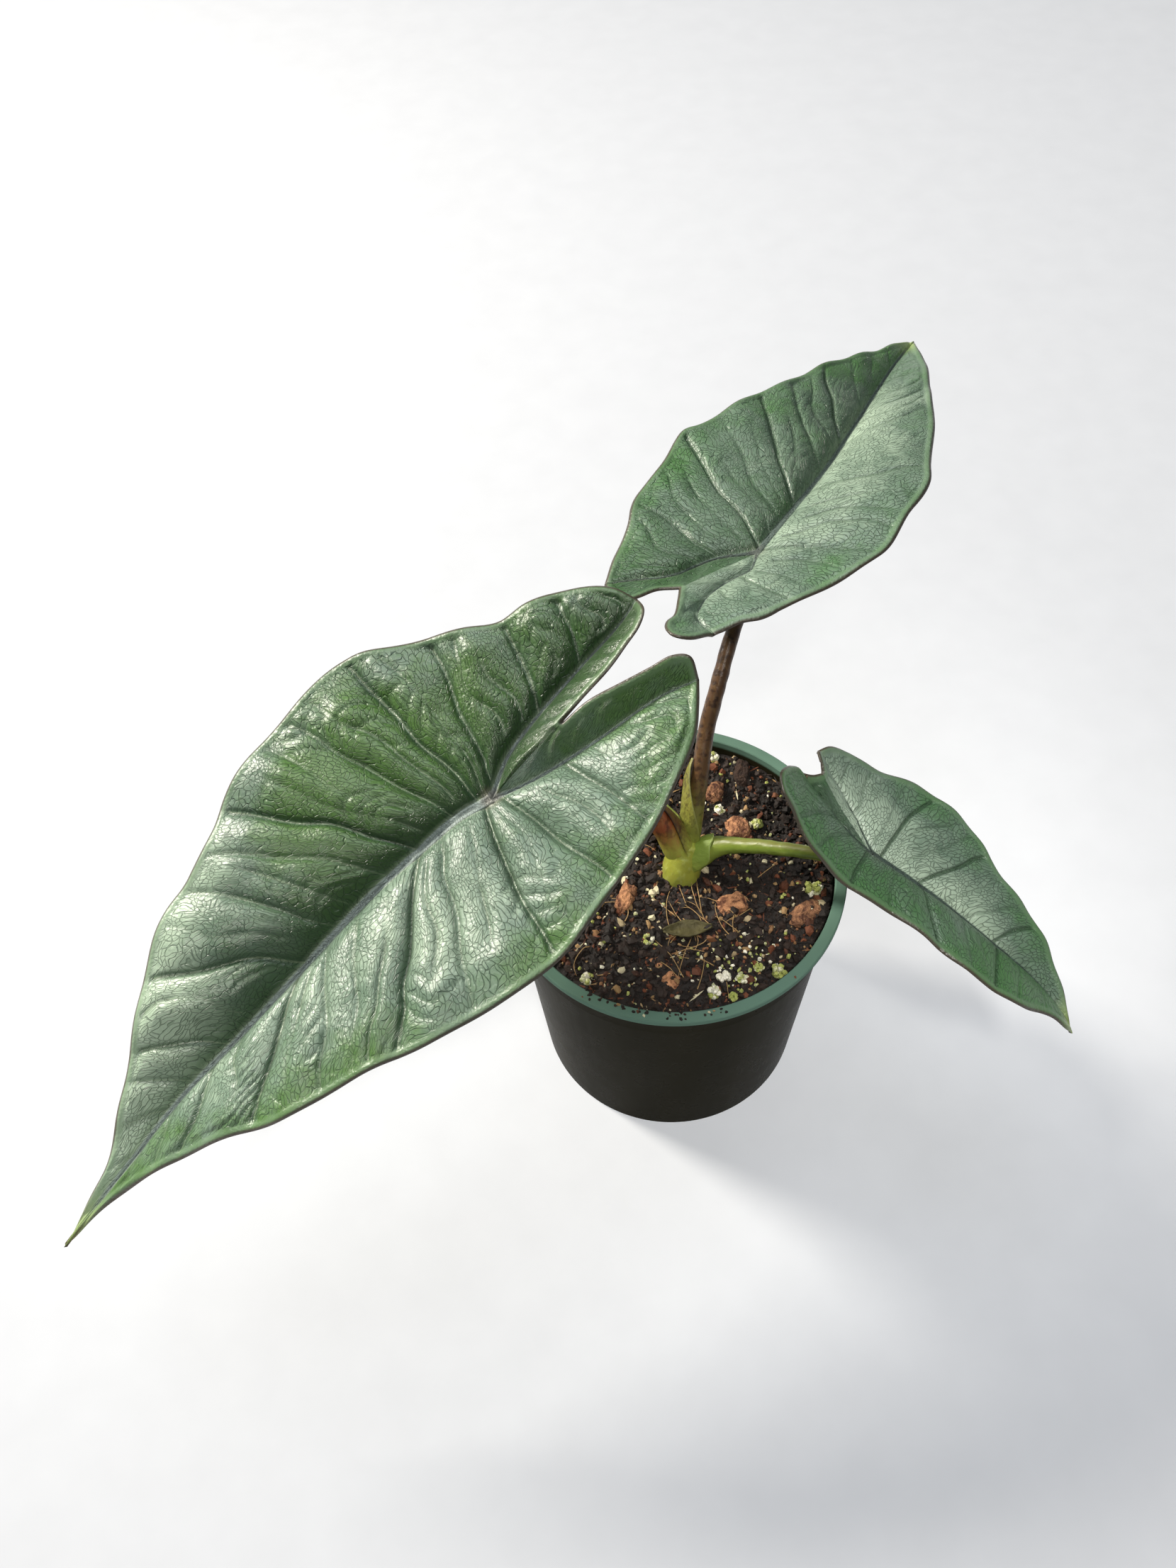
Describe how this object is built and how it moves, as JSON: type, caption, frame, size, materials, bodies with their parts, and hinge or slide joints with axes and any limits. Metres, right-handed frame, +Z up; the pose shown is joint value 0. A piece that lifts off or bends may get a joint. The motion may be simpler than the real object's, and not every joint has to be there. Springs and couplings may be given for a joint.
{
  "type": "potted alocasia",
  "caption": "Young silvery alocasia with deeply veined arrow-shaped leaves on brown and green petioles, in a round green nursery pot filled with potting mix.",
  "frame": {"origin": "centre of the pot's underside, on the surface that the pot stands on", "axes": "+Z up along the pot's axis; +X towards the small leaf, -X and -Y towards the large leaf's tip, +Y and +X towards the back leaf's tip; the picture looks along +Y and down"},
  "size_m": [0.2795, 0.2748, 0.1796],
  "materials": {
    "pot": "moulded dark green polypropylene, glossy wall and a paler lip",
    "soil": "moist dark peat and fine bark crumb",
    "crown": "smooth pale yellow-green living stem",
    "petiole_red": "red-brown petiole shading to green at its foot",
    "petiole_brown": "mottled dark brown petiole with an olive sheath",
    "petiole_green": "smooth bright green petiole",
    "young_sheath": "tender pale green sheath",
    "leaf": "leathery silver-green blade with a metallic sheen, sunk dark veins and a dark edge line",
    "bark": "rough orange-brown fir bark",
    "leaf_scrap": "dry brown scrap of dead leaf",
    "perlite": "porous cream and algae-green expanded perlite"
  },
  "bodies": {
    "root": {"pot": "pot", "soil": "soil", "crown": "crown", "petiole_left": "petiole_red", "petiole_back": "petiole_brown", "petiole_right": "petiole_green", "young_sheath": "young_sheath", "leaf_left": "leaf", "leaf_back": "leaf", "leaf_right": "leaf", "bark_front": "bark", "bark_left": "bark", "bark_near": "bark", "bark_rim": "bark", "bark_right": "bark", "bark_back": "bark", "bark_deep": "bark", "bark_dark": "bark", "leaf_scrap": "leaf_scrap", "perlite_a": "perlite", "perlite_b": "perlite", "perlite_c": "perlite", "perlite_d": "perlite", "perlite_e": "perlite", "perlite_f": "perlite", "perlite_g": "perlite", "perlite_h": "perlite", "perlite_i": "perlite", "perlite_j": "perlite", "perlite_k": "perlite", "perlite_l": "perlite"}
  },
  "joints": []
}
